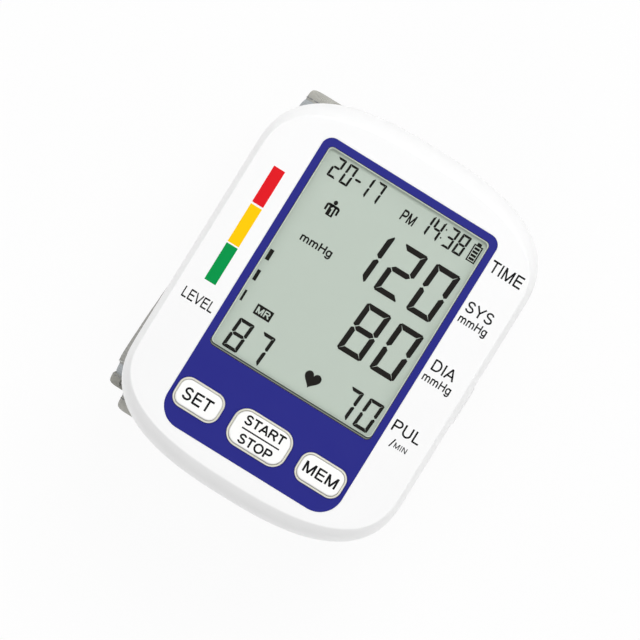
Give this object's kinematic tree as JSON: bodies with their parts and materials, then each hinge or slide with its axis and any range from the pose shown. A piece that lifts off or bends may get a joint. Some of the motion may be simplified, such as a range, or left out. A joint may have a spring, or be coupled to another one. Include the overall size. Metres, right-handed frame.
{
  "type": "wrist blood pressure monitor",
  "caption": "Bowed white display case with a framed reflective display and press buttons, on a fabric wrist cuff with a strap that peels open.",
  "frame": {"origin": "on the flat underside of the strap that the monitor stands on, straight below the middle of the display case", "axes": "+X to the display's right, across the wrist; +Y to the display's top edge, along the wrist; +Z out of the display"},
  "size_m": [0.0673, 0.0872, 0.0791],
  "materials": {
    "case_white": "semi-gloss white ABS",
    "panel_blue": "printed acrylic, deep blue",
    "lens_clear": "clear acrylic lens",
    "display_green": "reflective display glass, grey green",
    "button_white": "satin white buttons with printed legends",
    "board_green": "solder mask",
    "black_plastic": "black moulded plastic",
    "grey_rubber": "grey silicone rubber",
    "milky_silicone": "soft translucent tube",
    "steel": "plated steel",
    "cell_jacket": "printed cell jacket, plain",
    "loop_fabric": "brushed loop knit, warm grey",
    "lining_fabric": "smooth coated nylon, blue grey",
    "binding_tape": "ribbed woven tape, grey",
    "hook_tape": "hook tape",
    "core_plastic": "springy sheet that shapes the cuff",
    "bladder_film": "welded film bladder"
  },
  "bodies": {
    "monitor": {"case_top": "case_white", "case_bottom": "case_white", "case_screw_1": "steel", "case_screw_2": "steel", "case_screw_3": "steel", "case_screw_4": "steel", "front_panel": "panel_blue", "display_lens": "lens_clear", "display_glass": "display_green", "display_connector": "grey_rubber", "set_switch": "black_plastic", "start_stop_switch": "black_plastic", "memory_switch": "black_plastic", "circuit_board": "board_green", "processor_chip": "black_plastic", "contact_link": "steel", "battery_1": "cell_jacket", "battery_2": "cell_jacket", "battery_spring_1": "steel", "battery_spring_2": "steel", "contact_plate_1": "steel", "contact_plate_2": "steel", "pump_motor": "steel", "pump_head": "black_plastic", "pump_diaphragm": "grey_rubber", "air_manifold": "black_plastic", "pump_hose": "milky_silicone", "valve_body": "black_plastic", "pressure_sensor": "black_plastic", "sensor_hose": "milky_silicone", "cuff_cover": "loop_fabric", "cuff_core": "core_plastic", "cuff_bladder": "bladder_film", "cuff_lining": "lining_fabric", "cuff_tape": "binding_tape", "side_cover": "loop_fabric", "side_core": "core_plastic", "side_lining": "lining_fabric", "side_tape": "binding_tape", "cuff_air_stub": "black_plastic", "cuff_screw_1": "steel", "cuff_screw_2": "steel"},
    "set_key": {"set_button": "button_white", "set_plunger": "black_plastic"},
    "start_stop_key": {"start_stop_button": "button_white", "start_stop_plunger": "black_plastic"},
    "memory_key": {"memory_button": "button_white", "memory_plunger": "black_plastic"},
    "door": {"battery_door": "case_white"},
    "crank": {"pump_crank": "steel"},
    "valve": {"valve_plunger": "steel"},
    "strap_base": {"base_cover": "loop_fabric", "base_core": "core_plastic", "base_lining": "lining_fabric", "base_tape_upper": "binding_tape", "base_tape_lower": "binding_tape"},
    "strap_tip": {"tip_cover": "loop_fabric", "tip_core": "core_plastic", "tip_hook": "hook_tape", "tip_tape": "binding_tape"}
  },
  "joints": [
    {"name": "set_press", "type": "slide", "parent": "monitor", "child": "set_key", "axis": [0, 0, -1], "range_m": [0, 0.0007], "stiffness_N_per_m": 800},
    {"name": "start_stop_press", "type": "slide", "parent": "monitor", "child": "start_stop_key", "axis": [0, 0, -1], "range_m": [0, 0.0007], "stiffness_N_per_m": 800},
    {"name": "memory_press", "type": "slide", "parent": "monitor", "child": "memory_key", "axis": [0, 0, -1], "range_m": [0, 0.0007], "stiffness_N_per_m": 800},
    {"name": "battery_door_off", "type": "slide", "parent": "monitor", "child": "door", "axis": [1, 0, 0], "range_m": [0, 0.03]},
    {"name": "pump_crank_spin", "type": "hinge", "parent": "monitor", "child": "crank", "pos_m": [-0.02165, 0, 0.06116], "axis": [0, 1, 0], "continuous": true},
    {"name": "valve_stroke", "type": "slide", "parent": "monitor", "child": "valve", "axis": [1, 0, 0], "range_m": [0, 0.0009], "stiffness_N_per_m": 200},
    {"name": "strap_bend", "type": "hinge", "parent": "monitor", "child": "strap_base", "pos_m": [0.0305, 0, 0.018], "axis": [0, -1, 0], "range_deg": [0, 75]},
    {"name": "tip_peel", "type": "hinge", "parent": "strap_base", "child": "strap_tip", "pos_m": [-0.0334, 0, 0.018], "axis": [0, -1, 0], "range_deg": [0, 110]}
  ]
}
